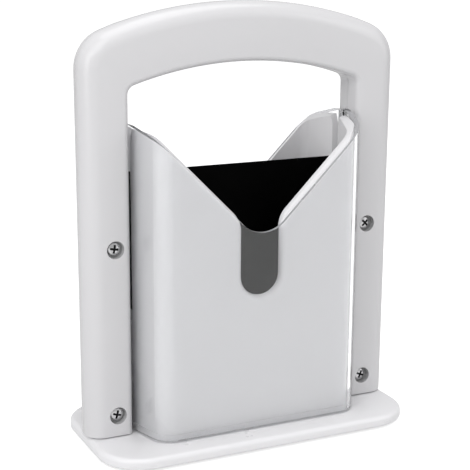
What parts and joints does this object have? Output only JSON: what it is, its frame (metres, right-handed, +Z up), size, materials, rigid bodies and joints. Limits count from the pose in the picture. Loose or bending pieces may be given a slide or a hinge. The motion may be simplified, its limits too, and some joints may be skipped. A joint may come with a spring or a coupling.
{
  "type": "bagel guillotine slicer",
  "caption": "Countertop slicer: an arched handle frame with clear shields and a scalloped V blade slides straight down over an upright bagel holder on a flat base.",
  "frame": {"origin": "on the table under the middle of the slicer, at the middle of the whole object's footprint", "axes": "+Z up along the blade's travel, +X along the width to the right as seen from the front, -Y towards the front where the frame's screw heads show"},
  "size_m": [0.182, 0.09, 0.2349],
  "materials": {
    "white_plastic": "smooth glossy white moulding",
    "clear_plastic": "clear polished moulding",
    "black_coating": "black non-stick coating on thin steel",
    "screw_steel": "bright plated screw",
    "foot_rubber": "matt dark grey rubber"
  },
  "bodies": {
    "holder_and_base": {"holder": "white_plastic", "cradle": "white_plastic", "base_plate": "white_plastic", "base_screw_left_front": "screw_steel", "base_screw_left_rear": "screw_steel", "base_screw_right_front": "screw_steel", "base_screw_right_rear": "screw_steel", "foot_left_front": "foot_rubber", "foot_left_rear": "foot_rubber", "foot_right_front": "foot_rubber", "foot_right_rear": "foot_rubber"},
    "carriage": {"front_shell": "white_plastic", "rear_shell": "white_plastic", "front_shield": "clear_plastic", "rear_shield": "clear_plastic", "blade": "black_coating", "frame_screw_left_lower": "screw_steel", "frame_screw_left_upper": "screw_steel", "frame_screw_right_lower": "screw_steel", "frame_screw_right_upper": "screw_steel"}
  },
  "joints": [
    {"name": "carriage_slide", "type": "slide", "parent": "holder_and_base", "child": "carriage", "axis": [0, 0, 1], "range_m": [0, 0.175]}
  ]
}
